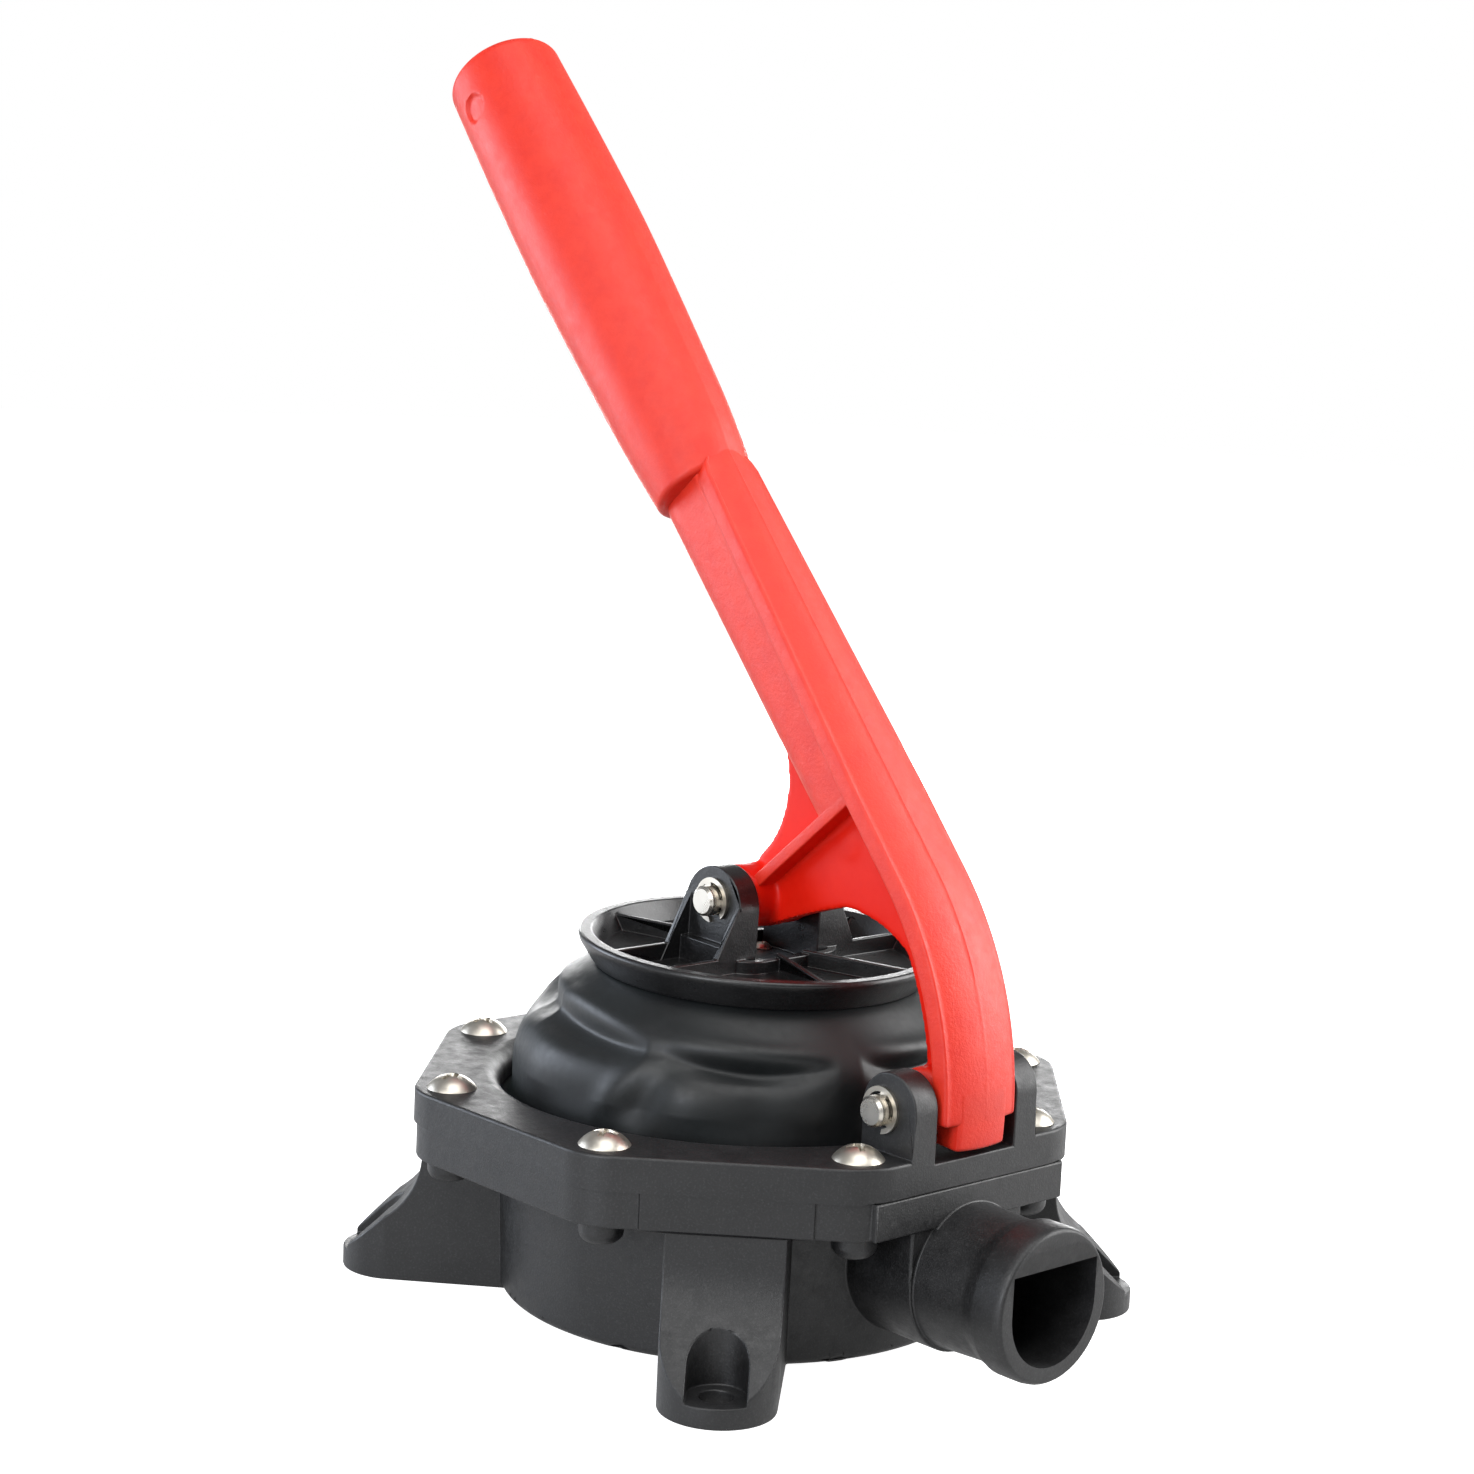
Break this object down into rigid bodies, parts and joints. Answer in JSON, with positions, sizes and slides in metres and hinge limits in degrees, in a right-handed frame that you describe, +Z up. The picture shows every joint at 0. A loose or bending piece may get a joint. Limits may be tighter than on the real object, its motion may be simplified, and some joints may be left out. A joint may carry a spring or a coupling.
{
  "type": "manual bilge pump",
  "caption": "Hand lever diaphragm bilge pump: bowl housing on screw-down feet, in-line hose spigots, clamped rubber dome, clevis plate and a red rocking lever.",
  "frame": {"origin": "centre of the circle through the feet's screw holes, on the surface that the pump stands on", "axes": "+Z up out of the mounting surface, +X out along the outlet spigot, the hinge pins along Y"},
  "size_m": [0.2481, 0.171, 0.3393],
  "materials": {
    "body": "black glass-filled nylon, spark-eroded moulding texture",
    "plate": "black nylon, satin moulding",
    "rubber": "smooth nitrile rubber, soft sheen",
    "flap_rubber": "matte nitrile rubber",
    "lever": "scarlet polypropylene, fine grained grip",
    "steel": "polished stainless steel",
    "pin_steel": "turned stainless steel",
    "clip_steel": "stamped stainless steel",
    "insert_brass": "turned brass",
    "valve_seat": "dark grey nylon"
  },
  "bodies": {
    "housing": {"pump_body": "body", "clamp_ring": "body", "clamp_screws": "steel", "threaded_inserts": "insert_brass", "diaphragm": "rubber", "fulcrum_pin": "pin_steel", "fulcrum_clip_near": "clip_steel", "fulcrum_clip_far": "clip_steel", "inlet_valve_seat": "valve_seat", "outlet_valve_seat": "valve_seat", "inlet_flap_pin": "pin_steel", "outlet_flap_pin": "pin_steel"},
    "lever": {"lever": "lever"},
    "plate": {"diaphragm_plate": "plate", "inner_plate": "plate", "plate_screws": "steel", "plate_pin": "pin_steel", "plate_clip_near": "clip_steel", "plate_clip_far": "clip_steel"},
    "inlet_flap": {"inlet_valve_flap": "flap_rubber"},
    "outlet_flap": {"outlet_valve_flap": "flap_rubber"}
  },
  "joints": [
    {"name": "lever_swing", "type": "hinge", "parent": "housing", "child": "lever", "pos_m": [0.0739, 0, 0.0697], "axis": [0, -1, 0], "range_deg": [0, 32], "deforming": ["diaphragm"]},
    {"name": "plate_pivot", "type": "hinge", "parent": "lever", "child": "plate", "pos_m": [0.0041, 0, 0.10963], "axis": [0, -1, 0], "range_deg": [-32, 0]},
    {"name": "inlet_flap_swing", "type": "hinge", "parent": "housing", "child": "inlet_flap", "pos_m": [-0.071, 0, 0.0336], "axis": [0, -1, 0], "range_deg": [0, 40], "stiffness_Nm_per_rad": 0.002, "springref_deg": -5.73},
    {"name": "outlet_flap_swing", "type": "hinge", "parent": "housing", "child": "outlet_flap", "pos_m": [0.069, 0, 0.0336], "axis": [0, -1, 0], "range_deg": [0, 40], "stiffness_Nm_per_rad": 0.002, "springref_deg": -5.73}
  ],
  "couplings": [
    {"joint": "plate_pivot", "follows": "lever_swing", "ratio": -1}
  ]
}
